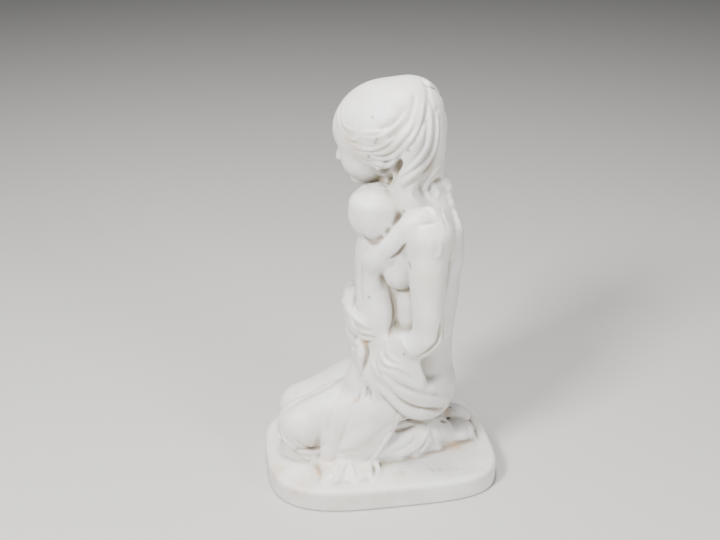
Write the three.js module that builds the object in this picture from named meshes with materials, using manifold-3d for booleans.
// A kneeling mother holding a child upright against her, cast in one piece with a low base.
// Millimetres, Z up, standing on the underside of the base; she faces -Y and her left side is +X.
import * as THREE from "three";
import { mergeVertices } from "three/addons/utils/BufferGeometryUtils.js";
import Module from "manifold-3d";

// Driving sizes.
const TOTAL_HEIGHT = 200;
const BASE_LENGTH = 114;
const BASE_WIDTH = 83;
const BASE_THICKNESS = 11.6;
const BASE_EDGE_RADIUS = 2.6;

// The base's plan is a superellipse, squarer behind her feet than before her knees: 2 would be an ellipse, a
// large number a rectangle.
const PLAN_EXPONENT_KNEES = 3.3;
const PLAN_EXPONENT_FEET = 4.4;
const PLAN_POINTS = 72;
const EDGE_STEPS = 3;

// The figure is carved as a distance field on a grid and then faceted.
const GRID_CELL = 1.3;
const FIGURE_TRIANGLES = 9300;

// The figure's rows below are its proportions, with the ground at this level. It is carved in a room that
// holds it whole, from inside the base to above the head, and then brought to its height.
const WRITTEN_GROUND = 11.6;
const ROOM = { low: [-46, -58, 4], high: [46, 58, 203] };

const vector = (x, y, z) => new THREE.Vector3(x, y, z);

// Points of a smooth line through rows of numbers (a point and its radii), with steps points to a span.
function smoothRows(rows, steps) {
  const last = rows.length - 1;
  const at = (i) => (i < 0 ? rows[0].map((v, j) => 2 * v - rows[1][j])
    : i > last ? rows[last].map((v, j) => 2 * v - rows[last - 1][j]) : rows[i]);
  const out = [];
  for (let i = 0; i < last; i++) {
    const [a, b, c, d] = [at(i - 1), at(i), at(i + 1), at(i + 2)];
    for (let s = 0; s < steps; s++) {
      const t = s / steps;
      out.push(b.map((v, j) => 0.5 * (2 * v + (c[j] - a[j]) * t + (2 * a[j] - 5 * v + 4 * c[j] - d[j]) * t * t
        + (3 * v - a[j] - 3 * c[j] + d[j]) * t ** 3)));
    }
  }
  out.push(rows[last]);
  return out;
}

// A grid of distances to the carved surface: negative inside the stone.
class Clay {
  constructor(low, high, cell) {
    this.low = low;
    this.cell = cell;
    this.size = low.map((v, i) => Math.ceil((high[i] - v) / cell) + 1);
    // The empty room: the stone is as far off as the room is high.
    this.values = new Float32Array(this.size[0] * this.size[1] * this.size[2]).fill(high[2] - low[2]);
  }

  index(i, j, k) {
    return (i * this.size[1] + j) * this.size[2] + k;
  }

  // Calls visit(index, x, y, z) for each grid point of a box.
  sweep(low, high, visit) {
    const from = low.map((v, i) => Math.max(0, Math.floor((v - this.low[i]) / this.cell)));
    const to = high.map((v, i) => Math.min(this.size[i] - 1, Math.ceil((v - this.low[i]) / this.cell)));
    for (let i = from[0]; i <= to[0]; i++) {
      const x = this.low[0] + i * this.cell;
      for (let j = from[1]; j <= to[1]; j++) {
        const y = this.low[1] + j * this.cell;
        const start = this.index(i, j, 0);
        for (let k = from[2]; k <= to[2]; k++) {
          visit(start + k, x, y, this.low[2] + k * this.cell);
        }
      }
    }
  }

  // Joins a distance to the stone, or carves it away, with a fillet about blend wide.
  merge(index, distance, blend, carve) {
    const old = this.values[index];
    const other = carve ? -distance : distance;
    const fillet = blend > 0 ? Math.max(blend - Math.abs(old - other), 0) ** 2 / (4 * blend) : 0;
    this.values[index] = carve ? Math.max(old, other) + fillet : Math.min(old, other) - fillet;
  }

  // An egg with its own three axes, or the world's.
  egg(centre, radii, { axes = null, blend = 2, carve = false } = {}) {
    const reach = Math.max(...radii) + blend + 2 * this.cell;
    this.sweep(centre.map((v) => v - reach), centre.map((v) => v + reach), (index, x, y, z) => {
      const p = [x - centre[0], y - centre[1], z - centre[2]];
      const q = axes ? axes.map((a) => a.x * p[0] + a.y * p[1] + a.z * p[2]) : p;
      const near = Math.hypot(q[0] / radii[0], q[1] / radii[1], q[2] / radii[2]);
      const slope = Math.hypot(q[0] / radii[0] ** 2, q[1] / radii[1] ** 2, q[2] / radii[2] ** 2);
      this.merge(index, near * (near - 1) / Math.max(slope, 1e-4), blend, carve);
    });
  }

  // A limb through rows of x, y, z, radius, or of x, y, z, width, thickness, where flat is the direction
  // of the thickness.
  limb(rows, { blend = 2, flat = null, carve = false, steps = 3 } = {}) {
    const line = smoothRows(rows, steps).map((r) => [...r.slice(0, 3), r[3], r[4] ?? r[3]]);
    const side = flat ? vector(...flat).normalize() : null;
    const distances = new Map();
    for (let s = 0; s + 1 < line.length; s++) {
      const [a, b] = [line[s], line[s + 1]];
      const along = [b[0] - a[0], b[1] - a[1], b[2] - a[2]];
      const length2 = along[0] ** 2 + along[1] ** 2 + along[2] ** 2;
      const reach = Math.max(a[3], a[4], b[3], b[4]) + blend + 2 * this.cell;
      const low = [0, 1, 2].map((i) => Math.min(a[i], b[i]) - reach);
      const high = [0, 1, 2].map((i) => Math.max(a[i], b[i]) + reach);
      this.sweep(low, high, (index, x, y, z) => {
        const p = [x - a[0], y - a[1], z - a[2]];
        const dot = p[0] * along[0] + p[1] * along[1] + p[2] * along[2];
        const t = Math.min(Math.max(dot / length2, 0), 1);
        const q = p.map((v, i) => v - t * along[i]);
        const width = a[3] + t * (b[3] - a[3]);
        const square = q[0] ** 2 + q[1] ** 2 + q[2] ** 2;
        let distance = Math.sqrt(square) - width;
        if (side) {
          const thickness = a[4] + t * (b[4] - a[4]);
          const across = (q[0] * side.x + q[1] * side.y + q[2] * side.z) ** 2;
          const rest = Math.max(square - across, 0);
          const near = Math.sqrt(rest / width ** 2 + across / thickness ** 2);
          const slope = Math.sqrt(rest / width ** 4 + across / thickness ** 4);
          distance = near * (near - 1) / Math.max(slope, 1e-4);
        }
        distances.set(index, Math.min(distances.get(index) ?? distance, distance));
      });
    }
    for (const [index, distance] of distances) {
      this.merge(index, distance, blend, carve);
    }
  }

  // The grid points, from level floor up, that a flood from one of them reaches on its side of the surface.
  flood(start, floor) {
    const inside = this.values[start] < 0;
    const seen = new Uint8Array(this.values.length);
    const steps = [this.size[1] * this.size[2], this.size[2], 1];
    const queue = [start];
    seen[start] = 1;
    while (queue.length) {
      const index = queue.pop();
      const place = [Math.floor(index / steps[0]), Math.floor(index / steps[1]) % this.size[1],
        index % this.size[2]];
      for (let axis = 0; axis < 3; axis++) {
        for (const way of [-1, 1]) {
          const next = index + way * steps[axis];
          const there = place[axis] + way;
          const outside = there < (axis === 2 ? floor : 0) || there >= this.size[axis];
          if (!outside && !seen[next] && (this.values[next] < 0) === inside) {
            seen[next] = 1;
            queue.push(next);
          }
        }
      }
    }
    return seen;
  }

  // Closes the room's walls, fills hollows that the ground or the stone shuts off, carries the footprint down
  // into the base, and drops crumbs that hang free, so that one body is left.
  settle(point, ground) {
    const ends = this.size.map((n) => n - 1);
    for (let i = 0; i <= ends[0]; i++) {
      for (let j = 0; j <= ends[1]; j++) {
        for (let k = 0; k <= ends[2]; k++) {
          if (i % ends[0] === 0 || j % ends[1] === 0 || k % ends[2] === 0) {
            this.values[this.index(i, j, k)] = Math.max(this.values[this.index(i, j, k)], this.cell);
          }
        }
      }
    }
    const floor = Math.ceil((ground - this.low[2]) / this.cell);
    const air = this.flood(ends[2], floor);
    this.values.forEach((v, i) => {
      const level = i % this.size[2];
      const open = air[i - level + Math.max(level, floor)];
      this.values[i] = level > 0 && v >= 0 && !open ? -this.cell : v;
    });
    const cellOf = point.map((v, i) => Math.round((v - this.low[i]) / this.cell));
    const stone = this.flood(this.index(...cellOf), 0);
    this.values.forEach((v, i) => {
      this.values[i] = v < 0 && !stone[i] ? this.cell : v;
    });
  }

  // The surface as a closed mesh: each grid cube is six tetrahedra round its diagonal, each cut where the
  // sign changes.
  facets() {
    const steps = [this.size[1] * this.size[2], this.size[2], 1];
    const corner = (bits) => steps.reduce((sum, step, axis) => sum + (bits & (1 << axis) ? step : 0), 0);
    const paths = [[1, 2, 4], [1, 4, 2], [2, 1, 4], [2, 4, 1], [4, 1, 2], [4, 2, 1]];
    const tetrahedra = paths.map(([a, b]) => [0, a, a | b, 7]);
    const points = [];
    const triangles = [];
    const made = new Map();
    const place = (index) => vector(Math.floor(index / steps[0]), Math.floor(index / steps[1]) % this.size[1],
      index % this.size[2]);
    const cut = (from, to) => {
      const [a, b] = from < to ? [from, to] : [to, from];
      const key = a * 8 + tags.get(b - a);
      if (!made.has(key)) {
        const t = THREE.MathUtils.clamp(this.values[a] / (this.values[a] - this.values[b]), 0.06, 0.94);
        made.set(key, points.length);
        points.push(place(a).lerp(place(b), t).multiplyScalar(this.cell).add(vector(...this.low)));
      }
      return made.get(key);
    };
    const tags = new Map();
    for (let bits = 1; bits < 8; bits++) {
      tags.set(corner(bits), bits);
    }
    const face = (a, b, c, outward) => {
      const normal = points[b].clone().sub(points[a]).cross(points[c].clone().sub(points[a]));
      triangles.push(normal.dot(outward) > 0 ? [a, b, c] : [a, c, b]);
    };
    for (let i = 0; i + 1 < this.size[0]; i++) {
      for (let j = 0; j + 1 < this.size[1]; j++) {
        for (let k = 0; k + 1 < this.size[2]; k++) {
          const origin = this.index(i, j, k);
          let solid = 0;
          for (let bits = 0; bits < 8; bits++) {
            solid += this.values[origin + corner(bits)] < 0 ? 1 : 0;
          }
          if (solid === 0 || solid === 8) {
            continue;
          }
          for (const bits of tetrahedra) {
            const ends = bits.map((b) => origin + corner(b));
            const inner = ends.filter((e) => this.values[e] < 0);
            const outer = ends.filter((e) => this.values[e] >= 0);
            if (!inner.length || !outer.length) {
              continue;
            }
            const outward = place(outer[0]).sub(place(inner[0]));
            if (inner.length === 2) {
              const ring = [cut(inner[0], outer[0]), cut(inner[0], outer[1]), cut(inner[1], outer[1]),
                cut(inner[1], outer[0])];
              face(ring[0], ring[1], ring[2], outward);
              face(ring[0], ring[2], ring[3], outward);
            } else {
              const tips = inner.length === 1
                ? outer.map((o) => cut(inner[0], o))
                : inner.map((n) => cut(n, outer[0]));
              face(...tips, outward);
            }
          }
        }
      }
    }
    return { points, triangles };
  }
}

// A binary heap of edges, cheapest first.
class Heap {
  constructor() {
    this.items = [];
  }

  push(item) {
    const items = this.items;
    let i = items.push(item) - 1;
    while (i > 0) {
      const up = (i - 1) >> 1;
      if (items[up].cost <= items[i].cost) {
        break;
      }
      [items[up], items[i]] = [items[i], items[up]];
      i = up;
    }
  }

  pop() {
    const items = this.items;
    const top = items[0];
    const end = items.pop();
    if (items.length) {
      items[0] = end;
      let i = 0;
      for (;;) {
        const [left, right] = [2 * i + 1, 2 * i + 2];
        let least = i;
        if (left < items.length && items[left].cost < items[least].cost) {
          least = left;
        }
        if (right < items.length && items[right].cost < items[least].cost) {
          least = right;
        }
        if (least === i) {
          break;
        }
        [items[least], items[i]] = [items[i], items[least]];
        i = least;
      }
    }
    return top;
  }
}

// The sum of squared distances from a point to planes, as the ten numbers of a symmetric form.
class Quadric {
  constructor(n = vector(0, 0, 0), d = 0, weight = 0) {
    const plane = [n.x, n.y, n.z, d];
    this.q = plane.flatMap((a, i) => plane.slice(i).map((b) => a * b * weight));
  }

  add(other) {
    this.q = this.q.map((v, i) => v + other.q[i]);
    return this;
  }

  cost({ x, y, z }) {
    const [a, b, c, d, e, f, g, h, i, j] = this.q;
    return a * x * x + e * y * y + h * z * z + 2 * (b * x * y + c * x * z + f * y * z)
      + 2 * (d * x + g * y + i * z) + j;
  }

  // The point of least cost, or null where the planes leave it open.
  best() {
    const [a, b, c, d, e, f, g, h, i] = this.q;
    const form = new THREE.Matrix3(a, b, c, b, e, f, c, f, h);
    const size = (a + e + h) / 3;
    if (Math.abs(form.determinant()) < 1e-5 * size ** 3) {
      return null;
    }
    return vector(-d, -g, -i).applyMatrix3(form.invert());
  }
}

// Collapses the edges that matter least until at most count triangles are left; the surface stays closed.
function simplify({ points, triangles }, count) {
  const faces = triangles.map((t) => [...t]);
  const around = points.map(() => new Set());
  const quadrics = points.map(() => new Quadric());
  const normalOf = (a, b, c) => b.clone().sub(a).cross(c.clone().sub(a));
  faces.forEach((t, f) => {
    const normal = normalOf(...t.map((v) => points[v]));
    const area = normal.length();
    normal.divideScalar(Math.max(area, 1e-12));
    const plane = new Quadric(normal, -normal.dot(points[t[0]]), area);
    t.forEach((v) => {
      around[v].add(f);
      quadrics[v].add(plane);
    });
  });
  const neighbours = (v) => new Set([...around[v]].flatMap((f) => faces[f]).filter((w) => w !== v));
  const stamps = points.map(() => 0);
  const heap = new Heap();
  const offer = (a, b) => {
    const both = new Quadric().add(quadrics[a]).add(quadrics[b]);
    const middle = points[a].clone().lerp(points[b], 0.5);
    const best = both.best();
    const near = best && best.distanceTo(middle) < 1.5 * points[a].distanceTo(points[b]);
    const target = near ? best : middle;
    heap.push({ a, b, target, cost: both.cost(target) + 1e-4 * points[a].distanceToSquared(points[b]),
      stamp: stamps[a] + stamps[b] });
  };
  points.forEach((p, v) => neighbours(v).forEach((w) => (v < w ? offer(v, w) : null)));
  const flips = (v, gone, target) => [...around[v]].some((f) => {
    if (faces[f].includes(gone)) {
      return false;
    }
    const before = normalOf(...faces[f].map((w) => points[w])).normalize();
    const after = normalOf(...faces[f].map((w) => (w === v ? target : points[w])));
    const edges = faces[f].map((w) => (w === v ? target : points[w]));
    const longest = Math.max(edges[0].distanceToSquared(edges[1]), edges[1].distanceToSquared(edges[2]),
      edges[2].distanceToSquared(edges[0]));
    return after.length() < 0.06 * longest || after.normalize().dot(before) < 0.3;
  });
  let left = faces.length;
  while (left > count && heap.items.length) {
    const { a, b, target, stamp } = heap.pop();
    if (!around[a] || !around[b] || stamp !== stamps[a] + stamps[b]) {
      continue;
    }
    const nearB = neighbours(b);
    const shared = [...neighbours(a)].filter((w) => nearB.has(w));
    if (shared.length !== 2 || flips(a, b, target) || flips(b, a, target)) {
      continue;
    }
    for (const f of around[b]) {
      if (faces[f].includes(a)) {
        faces[f].forEach((w) => around[w].delete(f));
        faces[f] = null;
        left -= 1;
      } else {
        faces[f] = faces[f].map((w) => (w === b ? a : w));
        around[a].add(f);
      }
    }
    points[a] = target;
    quadrics[a].add(quadrics[b]);
    around[b] = null;
    stamps[a] += 1 + stamps[b];
    neighbours(a).forEach((w) => offer(a, w));
  }
  return { points, triangles: faces.filter(Boolean) };
}

// The head's own axes: to her left, out through the face, and up. The head is turned to her right and bowed.
const HEAD_CENTRE = vector(-5, 5, 176.3);
const FACE = vector(-0.456, -0.8225, -0.34).normalize();
const LEFT = vector(-FACE.y, FACE.x, 0).normalize();
const CROWN = FACE.clone().cross(LEFT);
const HEAD_AXES = [LEFT, FACE, CROWN];

const onHead = ([left, front, up, ...radii]) => [...HEAD_CENTRE.clone().addScaledVector(LEFT, left)
  .addScaledVector(FACE, front).addScaledVector(CROWN, up).toArray(), ...radii];
const SIDES = [1, -1];

function trunk(clay) {
  clay.limb([
    [-5, 21, 46, 24, 15], [-5, 21.5, 58, 22.5, 15.5], [-5, 23, 74, 18.5, 14.5], [-4.5, 24.5, 94, 19.5, 15],
    [-4, 24.5, 114, 22, 15], [-4, 24, 128, 23, 14], [-4, 22.5, 140, 15, 10],
  ], { flat: [0, 1, 0] });
  for (const side of SIDES) {
    // Seat, shoulder blade, chest, breast and flank.
    clay.egg([-5 + side * 12, 25, 47], [13, 12, 12.4], { blend: 5 });
    clay.egg([-4 + side * 13, 32, 122], [9, 5, 14], { blend: 6 });
    clay.egg([-3.5 + side * 16, 12.5, 123], [10, 8, 13], { blend: 5 });
    clay.egg([-3.5 + side * 18, 8, 117], [7.6, 6.4, 10], { blend: 4 });
    clay.egg([-3.5 + side * 18.3, 6.5, 112.4], [7.4, 7, 7.6], { blend: 2.4 });
    clay.egg([-5 + side * 16.5, 14.5, 92], [9, 9, 22], { blend: 4 });
  }
  clay.egg([-5, 11, 66], [14, 7, 12], { blend: 7 });
  clay.limb([
    [-5, 15, 72, 15, 10], [-5, 15, 92, 16, 10], [-4.5, 15.5, 108, 17, 10],
  ], { blend: 6, flat: [0, 1, 0] });
  // Shoulders and neck.
  clay.limb([
    [-28, 19, 134, 9], [-13, 19, 142, 7], [-4, 18, 145, 7], [6, 19, 142, 7], [20, 19, 134, 9],
  ], { blend: 6 });
  clay.limb([[-4, 22, 138, 10], [-5, 17, 148, 9], [-6, 13, 158, 8.5]], { blend: 5 });
  clay.egg([-4, 27.5, 143.5], [9, 6.2, 6.6], { blend: 1 });
}

// Kneeling thighs, the shins under them, and the feet behind with their soles up.
function legs(clay) {
  clay.limb([[9, 16, 47, 14], [8.2, -2, 42, 14.4], [5, -20, 36, 13.4], [2.6, -37, 28, 11.8]], { blend: 4 });
  clay.limb([
    [-17, 17, 45, 15], [-18, -2, 38.2, 14.2], [-20, -20, 29.8, 12], [-22, -36, 22.5, 10.3],
  ], { blend: 4 });
  clay.egg([2.2, -39.4, 25.6], [10.4, 11.4, 11.6], { blend: 5 });
  clay.egg([-22, -36.6, 21.5], [10.3, 10.6, 10.2], { blend: 5 });
  clay.limb([
    [1, -34, 20, 8.5], [7, -14, 20, 9.6], [10, 6, 19.5, 9.2], [9.6, 18, 20.2, 8], [8, 27, 20.6, 6.6],
  ]);
  clay.limb([
    [-22, -34, 19, 9.5], [-22, -14, 20, 9.6], [-20, 6, 19.5, 9.2], [-17, 20, 18.5, 7],
    [-14, 30, 17.5, 5.8],
  ]);
  foot(clay, [7.4, 29, 18.6], [3, 40, 15.2]);
  foot(clay, [-14, 30, 18.6], [-10.6, 41, 15.8]);
}

// A foot on its back, from the heel to the ball and the toes, filled down to the slab.
function foot(clay, heel, ball) {
  const [x, y, z] = ball;
  const arch = heel.map((v, i) => (v + ball[i]) / 2);
  clay.limb([[...heel, 6.4, 6], [arch[0], arch[1], arch[2] - 0.8, 6.8, 4.6], [x, y, z, 7.8, 4.4],
    [x - 0.9, y + 6, z - 1.2, 7.4, 3]], { flat: [0, 0, 1] });
  clay.egg([heel[0], heel[1] + 1, heel[2] + 1], [6, 6, 5.6], { blend: 2.5 });
  clay.limb([[heel[0], heel[1], 12, 5.6, 3], [x, y + 1, 11.8, 6.6, 3]], { blend: 3, flat: [0, 0, 1] });
}

function arms(clay) {
  clay.egg([21, 19, 132.5], [9.2, 10.5, 11], { blend: 5 });
  clay.limb([
    [21, 19, 131.5, 9.4], [24.5, 18, 116, 8.6], [26, 18, 100, 7.7], [26.5, 18.5, 86, 6.9],
  ], { blend: 3 });
  clay.limb([
    [26.5, 18, 84, 7], [24, 13.5, 79.6, 7], [15.5, 6.5, 78, 5.8], [6, 1.5, 77.5, 4.6],
  ], { blend: 2.5 });
  clay.egg([-29, 19, 133], [9.2, 10.5, 11], { blend: 5 });
  clay.limb([
    [-29, 19, 132, 9.4], [-32, 18.5, 116, 8.6], [-33, 17.5, 100, 7.7], [-32.5, 15, 90, 7],
  ], { blend: 3 });
  clay.limb([[-32.5, 15, 89, 7], [-29, 4, 88, 6.6], [-20, -5, 90, 5.4], [-11, -11, 91.4, 4.5]], { blend: 3 });
  // The arms were cast against the ribs, with no daylight between.
  clay.limb([[16, 20, 122, 6], [17, 20, 106, 6], [18, 19.5, 90, 6]], { blend: 4 });
  clay.limb([[-24, 20, 122, 6], [-25, 20, 106, 6], [-26, 18, 92, 6]], { blend: 4 });
  hand(clay);
}

// Her right hand, spread on the small of the child's back.
function hand(clay) {
  clay.limb([
    [-11, -11, 91.6, 4.8, 4], [-5, -13.4, 90.4, 6.2, 3.6], [0, -13.9, 87.4, 7.8, 3],
    [4, -13.2, 84.5, 8.2, 2.4],
  ], { blend: 1.5, flat: [0.15, 1, 0.1] });
  clay.egg([-1, -10.5, 91], [7, 5, 8], { blend: 3 });
  [[91.8, 87.4], [87, 83.2], [82.2, 79.6], [77.6, 76.4]].forEach(([knuckle, tip], i) => {
    const thick = 2.15 - 0.14 * i;
    const back = 0.5 * i;
    clay.limb([[1, -16.2 + back, knuckle + 0.8, thick], [6.5, -15 + back, knuckle - 1.2, thick],
      [11.4, -11.4 + back, tip + 1.2, 0.95 * thick], [14.2, -7.6 + back, tip, 0.8 * thick]], { blend: 0.6 });
  });
}

function face(clay) {
  const axes = HEAD_AXES;
  clay.egg(onHead([0, 11, -4]), [15, 15.4, 17], { axes, blend: 1.5 });
  clay.egg(onHead([0, 16, -15.5]), [9.5, 9.2, 7.6], { axes, blend: 4 });
  for (const side of SIDES) {
    // Cheek, socket, lid and ear.
    clay.egg(onHead([7.4 * side, 17.6, -9.8]), [6.2, 6.6, 7], { axes, blend: 3.5 });
    clay.egg(onHead([5.9 * side, 26, -2.9]), [4.4, 2.9, 2.7], { axes, blend: 2.5, carve: true });
    clay.egg(onHead([5.9 * side, 22.4, -3.2]), [3.3, 2.7, 2.2], { axes, blend: 0.9 });
    clay.limb([[14.6, 6.5, -6.5, 1.6], [16.6, 3.6, -7.5, 1.8], [16.6, 3.2, -11, 1.7], [15, 5.6, -14.2, 1.9]]
      .map(([left, ...rest]) => onHead([left * side, ...rest])), { blend: 1 });
  }
  clay.limb([[0, 25.4, -1, 1.6], [0, 27, -4.6, 1.7], [0, 28.6, -7.8, 2]].map(onHead), { blend: 2.2 });
  clay.egg(onHead([0, 21.6, -19]), [4.6, 4.2, 3.7], { axes, blend: 3.5 });
  clay.limb([
    [-3.6, 24.2, -13.1, 1.2], [0, 25.6, -13.1, 1.8], [3.6, 24.2, -13.1, 1.2],
  ].map(onHead), { blend: 1.2 });
}

// A lock along a guide on the head: thickest in the middle, and sunk in it by the given shares of its radius.
function lock(clay, guide, width, sunk) {
  const last = guide.length - 1;
  clay.limb(guide.map((place, i) => {
    const radius = Math.max(width * (0.4 + 0.85 * Math.sin(Math.PI * (0.1 + 0.8 * i / last))), 0.35);
    const deep = (sunk[0] + (sunk[1] - sunk[0]) * i / last) * radius / Math.hypot(...place);
    return onHead([...place.map((v) => v * (1 - deep)), radius]);
  }), { blend: 0.6 });
}

// The guide a share of the way from one to another.
function between(first, last, share) {
  return first.map((place, i) => place.map((v, j) => v + (last[i][j] - v) * share));
}

function hair(clay) {
  const axes = HEAD_AXES;
  // A smooth cap, open over the face, and the crown.
  clay.egg(onHead([0, 1.3, 1.2]), [20.5, 25, 20.8], { axes });
  clay.egg(onHead([0, -9, 0.5]), [18.3, 14.4, 17.6], { axes, blend: 5 });
  clay.egg([-4.5, 15.8, 187.2], [12.5, 10.8, 10.6], { blend: 5 });
  clay.egg(onHead([0, 37, -17.5]), [24, 24, 23], { axes, carve: true });
  // The fall behind, on to the back, and over the near shoulder.
  clay.limb([
    [0, 14.5, 184, 11.5], [1.5, 16.5, 172, 12], [0, 18, 160, 11], [-3, 19.5, 151, 10],
  ], { blend: 6 });
  clay.limb([[-4, 18.5, 155, 15, 10], [-4, 24, 143, 15, 9], [-4, 30, 131, 12, 6.5], [-4, 34, 120, 7, 4]],
    { blend: 4, flat: [0, 1, 0] });
  clay.limb([[10, 10, 176, 8], [11, 10.5, 163, 7], [11, 9, 154, 6.5], [12, 10, 147, 7]], { blend: 4 });
}

// Guides on her left half, each a line of places on the head: from the temple back to the crown.
const TEMPLE = [
  [[18.4, 13, 1.8], [20.2, 6.2, 3.2], [20.2, 0, 0.8], [19.6, -7.6, 0.6], [17, -15, 3],
    [12.6, -19.2, 6.4]],
  [[18, 13.2, -2.4], [19.4, 5.6, -3.4], [19.6, -1, -4.4], [19.2, -8.8, -2.4], [16.8, -16, 1.2],
    [12, -20.2, 5.2]],
  [[17, 13.2, -5], [18.4, 6, -6.6], [18.5, -1, -8.4], [18.6, -9, -6.4], [16.8, -16.4, -2.2],
    [12, -20.8, 2.6]],
  [[16.6, 10.4, -7.8], [17.8, 4, -9.3], [17.6, -1.2, -11], [18, -7, -9.6], [17.2, -13, -6.2],
    [14, -18.4, -2]],
];

// And from the crown down behind the ear to the shoulder.
const SWEEP = [
  [[0.2, -22, 12.8], [5.4, -23.4, 8.4], [11.6, -21.6, 0.8], [16, -17.6, -5.4], [18, -12.4, -9.8],
    [17.8, -6.8, -15.2], [16.4, -1.8, -20.5], [15.6, 0.5, -25.2]],
  [[-0.2, -22.4, 12.6], [5, -24.2, 7.6], [9.2, -23.2, -1], [12.6, -19.6, -7.8], [15.2, -15.8, -11.8],
    [16.9, -11.4, -15.6], [17.6, -6.6, -19.3], [16.9, -2.2, -24.6]],
  [[-0.6, -22.8, 12.2], [2.9, -25, 7.1], [6.2, -24.6, -0.6], [8.7, -21.6, -8.8], [11.1, -17.6, -14],
    [14.6, -13.4, -17.8], [16.8, -8.3, -21.5], [16.6, -4, -26]],
  [[-1.2, -22.6, 12.4], [0.6, -25, 7.4], [2.4, -25.4, -0.8], [4.3, -23.6, -8.4], [6.6, -20.2, -14.4],
    [9.4, -16, -18.8], [13, -11.8, -22.6], [14.4, -8, -27]],
  [[-1.6, -22.6, 12.2], [-1.4, -25, 5.6], [-0.8, -25, -3], [0.4, -23.8, -9.8], [1.6, -21.2, -16],
    [4, -17.8, -21], [7.6, -13.6, -25], [9.6, -10, -29.2]],
];

function combing(clay) {
  for (const side of SIDES) {
    const mirrored = (rows) => rows.map(([left, front, up]) => [left * side, front, up]);
    TEMPLE.forEach((guide, i) => lock(clay, mirrored(guide), 1.7 + 0.15 * i, [0.45, 0.85]));
    SWEEP.forEach((guide, i) => {
      lock(clay, mirrored(guide), 2.4, [0.9, 0.5]);
      if (i) {
        lock(clay, mirrored(between(SWEEP[i - 1], guide, 0.5)), 1.7, [0.9, 0.55]);
      }
    });
    const lowest = [[14.4, 5, -15.4], [14.8, 1.6, -16.8], [15.2, -1.6, -16], [15.8, -3.8, -13.8]];
    lock(clay, mirrored(lowest), 1.9, [0.5, 0.6]);
  }
  // The loose ends that lie on her back.
  for (let i = 0; i < 5; i++) {
    const across = i / 2 - 1;
    clay.limb([
      [-5 + 8 * across, 24.5 - 3 * across ** 2, 183, 2.2],
      [-5 + 9.5 * across, 28.5 - 3 * across ** 2, 160, 2.2],
      [-5 + 11 * across, 32.5 - 3 * across ** 2, 146, 2.2],
      [-5 + 9 * across, 36.5 - 3 * across ** 2, 133, 2],
      [-5 + 6.5 * across, 38.8 - 3 * across ** 2, 122 + 4 * across ** 2, 1.4],
    ], { blend: 1 });
  }
}

// The child stands upright against her with its back turned, one arm over her near shoulder.
function child(clay) {
  clay.limb([
    [6, -3.4, 80, 9.2, 9], [6.2, -3.6, 88, 9.4, 9.2], [6, -4.9, 98, 8.2, 7.8], [5.6, -5.4, 108, 8.3, 7.3],
    [5.5, -4.8, 118, 9.8, 7.7], [5.5, -4, 126, 8.8, 7],
  ], { flat: [0, 1, 0] });
  clay.egg([2.4, -5.2, 84], [7, 8, 8.6], { blend: 3 });
  clay.egg([9.2, -5.2, 84], [7, 8, 8.6], { blend: 3 });
  clay.egg([-1.5, -3.4, 120.5], [5, 6, 6], { blend: 5 });
  clay.egg([13, -3.4, 120.5], [5, 6, 6], { blend: 5 });
  clay.limb([[5, 2, 84, 8], [5, 3, 100, 7], [4, 4, 118, 7]], { blend: 3 });
  clay.limb([[5.5, -2.5, 123, 6], [5.8, -1.5, 131, 6.5]]);
  // Head, with the crown of short hair.
  clay.egg([6, -2.7, 139.3], [12.2, 12.8, 12.8], { blend: 1 });
  clay.egg([6.5, -2.9, 144.9], [11, 11.8, 7.2], { blend: 3 });
  clay.egg([2, 4.8, 134.8], [6.2, 6, 6.6], { blend: 3 });
  // Arms.
  clay.limb([
    [13.5, -2.5, 122, 5.3], [17.5, 2.5, 128.5, 4.9], [19.5, 6.8, 134.5, 4.8], [21, 11.3, 140, 4.6],
    [21.5, 17, 141.6, 4.4], [22, 21.5, 141, 4.2],
  ], { blend: 3 });
  clay.limb([[-3, -2, 121.5, 5], [-10, 4, 128, 4.8], [-18, 11, 137, 4.4], [-22, 18, 142, 4]], { blend: 1.5 });
  // Folded legs and the foot that shows.
  clay.limb([
    [9.5, -2, 98, 5.4], [10.6, -1.6, 90, 7.3], [10.6, -2, 82, 7.2], [11.2, -2.2, 75, 6.2],
    [12, -1.8, 67, 5.2],
  ]);
  clay.limb([[-2, -3, 83, 7.5], [-3, 0, 74, 6.2], [-3, 0, 64, 5]]);
  clay.limb([[12, -2, 66, 5.4], [11.6, -6.5, 68, 5], [11, -10.4, 71, 4.2]], { blend: 3 });
  clay.limb([[4, -8, 72, 7], [8, -9, 62, 6], [9, -12, 54, 6]], { blend: 4 });
  clay.limb([
    [9.2, -10.2, 74.5, 3.5], [9.6, -10.3, 69, 3.2], [10.2, -10.4, 63.5, 2.2], [10.8, -10.7, 58.5, 1.2],
  ], { blend: 1 });
  clay.limb([[1.6, -12.4, 75.5, 4.2], [1, -12.6, 69, 3.2], [1.2, -11.6, 64, 3]], { blend: 2 });
}

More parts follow.
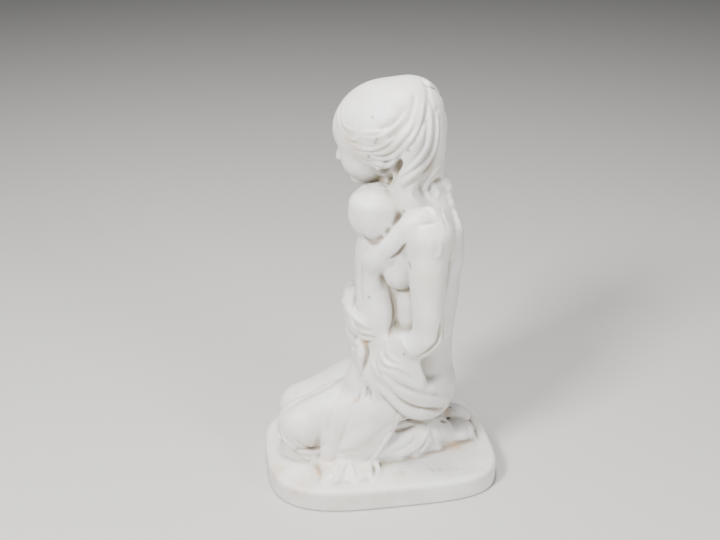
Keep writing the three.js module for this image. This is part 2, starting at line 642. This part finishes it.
// Cloth: gathered in the lap, slung in folds round the hips, and spread over the near leg.
function drapery(clay) {
  clay.limb([[8, 4, 68, 9], [8, -4, 58, 9], [6, -10, 48, 8]], { blend: 4 });
  clay.limb([[17, 3, 77, 6], [15.5, -1, 71, 6], [14, -5, 62, 6]], { blend: 4 });
  const sash = [
    [[21.6, -1.6, 72.4, 1.4], [24, 2.4, 69.3, 2.4], [25.8, 9, 66.5, 2.6], [26, 15, 62, 2.2]],
    [[20.4, -3, 67, 2.4], [23.6, 2.6, 63.6, 3], [24.8, 10, 60, 3.4], [24.2, 16, 56.4, 3.6],
      [21.5, 22.4, 53.6, 3.6], [15.4, 29, 51.4, 3.4], [5, 32.8, 50, 3.2], [-10, 33.6, 49.5, 3]],
    [[19.6, -3.4, 62.8, 2.4], [22.8, 2.6, 58.2, 2.8], [24.6, 8, 53.6, 3.2], [24.4, 14, 49.6, 3.4],
      [22.3, 20.8, 47, 3.6], [16.2, 28, 45, 3.6], [6, 32.4, 43.6, 3.4], [-10, 33.2, 43, 3]],
    [[17, -6.6, 58.5, 2.4], [21.4, 0.2, 53, 2.8], [22.8, 5.4, 47.6, 3.2], [22.8, 11.4, 42.6, 3.4],
      [21, 18, 39.4, 3.6], [15.8, 25.6, 37.4, 3.6], [8, 31, 37.2, 3.2], [-8, 32.4, 37.2, 3]],
  ];
  sash.forEach((fold) => clay.limb(fold, { blend: 1.6 }));
  clay.limb([
    [20.8, 2.4, 78.4, 5.6, 2.2], [23.8, 8, 74, 7, 2.6], [24.6, 12, 64, 7, 2.6],
  ], { blend: 2.5, flat: [1, -0.3, 0.3] });
  hanging(clay);
  spread(clay);
}

// The cloth that hangs from the gather over the near leg: one round fold, and a broad one.
function hanging(clay) {
  clay.limb([[9, -21, 37, 8], [11, -23, 26, 8], [12, -24, 14, 8]], { blend: 3 });
  clay.limb([[0, -37, 13.4, 5.4], [5, -29, 14.4, 7], [11, -17, 17, 9], [12.5, -6, 17, 9]], { blend: 4 });
  clay.limb([[7.2, -14.8, 46.5, 2, 2.2], [11.8, -19, 42.3, 3, 2.2], [15.4, -21.8, 37, 3.4, 2.2],
    [17.4, -24.1, 30, 3.6, 2.2], [18.4, -26.2, 23.2, 3.4, 2.2], [19.2, -27.6, 16, 3.2, 2.2]],
  { blend: 0.8, flat: [0.85, -0.15, 0.5] });
  clay.limb([
    [16, -5.5, 51, 6, 2.4], [19.5, -6, 43, 9, 2.6], [20.4, -10, 33, 11, 2.6], [20.6, -14, 23, 11, 2.6],
    [21.2, -17, 15, 10, 2.6],
  ], { blend: 2.5, flat: [0.85, 0, 0.4] });
  clay.limb([[20, 1, 45, 1.8], [20.4, 4.4, 39, 1.8], [20.2, 2.8, 30.5, 1.8], [20.4, -3.2, 21.6, 1.8],
    [20.8, -8.6, 14.5, 1.8]], { blend: 1.8 });
  for (const end of [[15, -15.5, 45], [17.2, -9, 46], [18.7, -4.8, 45.5]]) {
    clay.limb([
      [15, -9.4, 54.5, 1.4],
      [(15 + end[0]) / 2 + 1, (end[1] - 9.4) / 2, (end[2] + 54.5) / 2 + 0.6, 1.6], [...end, 0.9],
    ], { blend: 0.9 });
  }
}

// The cloth on the slab: pleats of the hem, the rim round the knee, and the thin cloth over the shin.
function spread(clay) {
  clay.limb([
    [17, -32, 12.6, 2.2], [25, -29.4, 12.8, 1.8], [29.6, -28.2, 12.4, 1.6], [31.8, -33.2, 12.2, 1.6],
    [34, -29.6, 12.2, 1.6], [30.6, -24.4, 12.8, 1.8], [19.5, -18.6, 15, 2.2], [32.6, -17.8, 12.4, 1.7],
    [33.2, -15.4, 12.2, 1.6], [27.6, -10.4, 12.8, 1.8], [20.8, -6, 13.6, 1.8], [26, -4.4, 12.6, 1.6],
    [32.2, -6.2, 12.2, 1.5],
  ], { blend: 1.5 });
  clay.limb([
    [20, -31, 12, 5, 1.8], [23, -18, 12.2, 5, 1.8], [22, -8, 12.2, 5, 1.8],
  ], { blend: 3, flat: [0, 0, 1] });
  clay.limb([
    [-24, -48.6, 12.6, 1.6], [-12, -49.4, 12.8, 1.6], [-3, -49, 13.2, 1.7], [3, -45.6, 13.8, 1.8],
    [7.4, -41, 14, 1.8], [9.4, -36.4, 14, 1.8], [10.6, -32.4, 14.2, 1.8], [14.5, -28, 14.8, 1.8],
  ], { blend: 3 });
  clay.limb([[12, -4, 18, 7.6], [11.4, 8, 19, 7.6], [9.6, 20, 19, 7]], { blend: 2 });
  clay.limb([[12.5, -2, 13, 7], [12.5, 8, 13, 6.6], [9.6, 20, 13, 6.6], [7.4, 28, 13, 5.6]], { blend: 3 });
  clay.limb([
    [10.2, 27, 25.4, 1.6], [14.5, 20.6, 21.6, 1.9], [17.2, 13.6, 17.4, 1.9], [18.6, 7.5, 13.6, 1.6],
  ], { blend: 1.5 });
  clay.limb([
    [11, 26.6, 23.6, 1.6], [14.4, 22.6, 19.4, 1.8], [16.2, 19, 15.2, 1.8], [17, 15.8, 12.6, 1.5],
  ], { blend: 1.5 });
}

// Rounded slab under everything: a superellipse with its edges eased.
function base() {
  const [a, b] = [BASE_WIDTH / 2 - BASE_EDGE_RADIUS, BASE_LENGTH / 2 - BASE_EDGE_RADIUS];
  const outline = Array.from({ length: PLAN_POINTS }, (_, i) => {
    const angle = 2 * Math.PI * i / PLAN_POINTS;
    const [c, s] = [Math.cos(angle), Math.sin(angle)];
    const exponent = s < 0 ? PLAN_EXPONENT_KNEES : PLAN_EXPONENT_FEET;
    return new THREE.Vector2(a * Math.sign(c) * Math.abs(c) ** (2 / exponent),
      b * Math.sign(s) * Math.abs(s) ** (2 / exponent));
  });
  const slab = new THREE.ExtrudeGeometry(new THREE.Shape(outline), {
    depth: BASE_THICKNESS - 2 * BASE_EDGE_RADIUS,
    bevelThickness: BASE_EDGE_RADIUS,
    bevelSize: BASE_EDGE_RADIUS,
    bevelSegments: EDGE_STEPS,
    curveSegments: 1,
  });
  return slab.translate(0, 0, BASE_EDGE_RADIUS);
}

function figure() {
  const clay = new Clay(ROOM.low, ROOM.high, GRID_CELL);
  hair(clay);
  face(clay);
  combing(clay);
  trunk(clay);
  legs(clay);
  arms(clay);
  child(clay);
  drapery(clay);
  clay.settle([-4, 22, 110], WRITTEN_GROUND);
  const { points, triangles } = simplify(clay.facets(), FIGURE_TRIANGLES);
  const geometry = new THREE.BufferGeometry();
  geometry.setAttribute("position", new THREE.Float32BufferAttribute(points.flatMap((p) => p.toArray()), 3));
  geometry.setIndex(triangles.flat());
  const top = triangles.flat().reduce((most, v) => Math.max(most, points[v].z), 0);
  const share = (TOTAL_HEIGHT - BASE_THICKNESS) / (top - WRITTEN_GROUND);
  return geometry.translate(0, 0, -WRITTEN_GROUND).scale(share, share, share).translate(0, 0, BASE_THICKNESS);
}

const wasm = await Module();
wasm.setup();

function solid(geometry) {
  geometry.deleteAttribute("normal");
  geometry.deleteAttribute("uv");
  const merged = mergeVertices(geometry, 1e-4);
  return new wasm.Manifold(new wasm.Mesh({
    numProp: 3,
    vertProperties: Float32Array.from(merged.attributes.position.array),
    triVerts: Uint32Array.from(merged.index.array),
  }));
}

const joined = solid(figure()).add(solid(base())).getMesh();
const geometry = new THREE.BufferGeometry();
geometry.setAttribute("position", new THREE.BufferAttribute(Float32Array.from(joined.vertProperties), 3));
geometry.setIndex(new THREE.BufferAttribute(Uint32Array.from(joined.triVerts), 1));

const stone = new THREE.MeshStandardMaterial({ color: "#e8e2d6", roughness: 0.45, metalness: 0 });
const statuette = new THREE.Mesh(geometry, stone);
statuette.name = "mother_and_child";

const part = new THREE.Group();
part.add(statuette);

export default part;
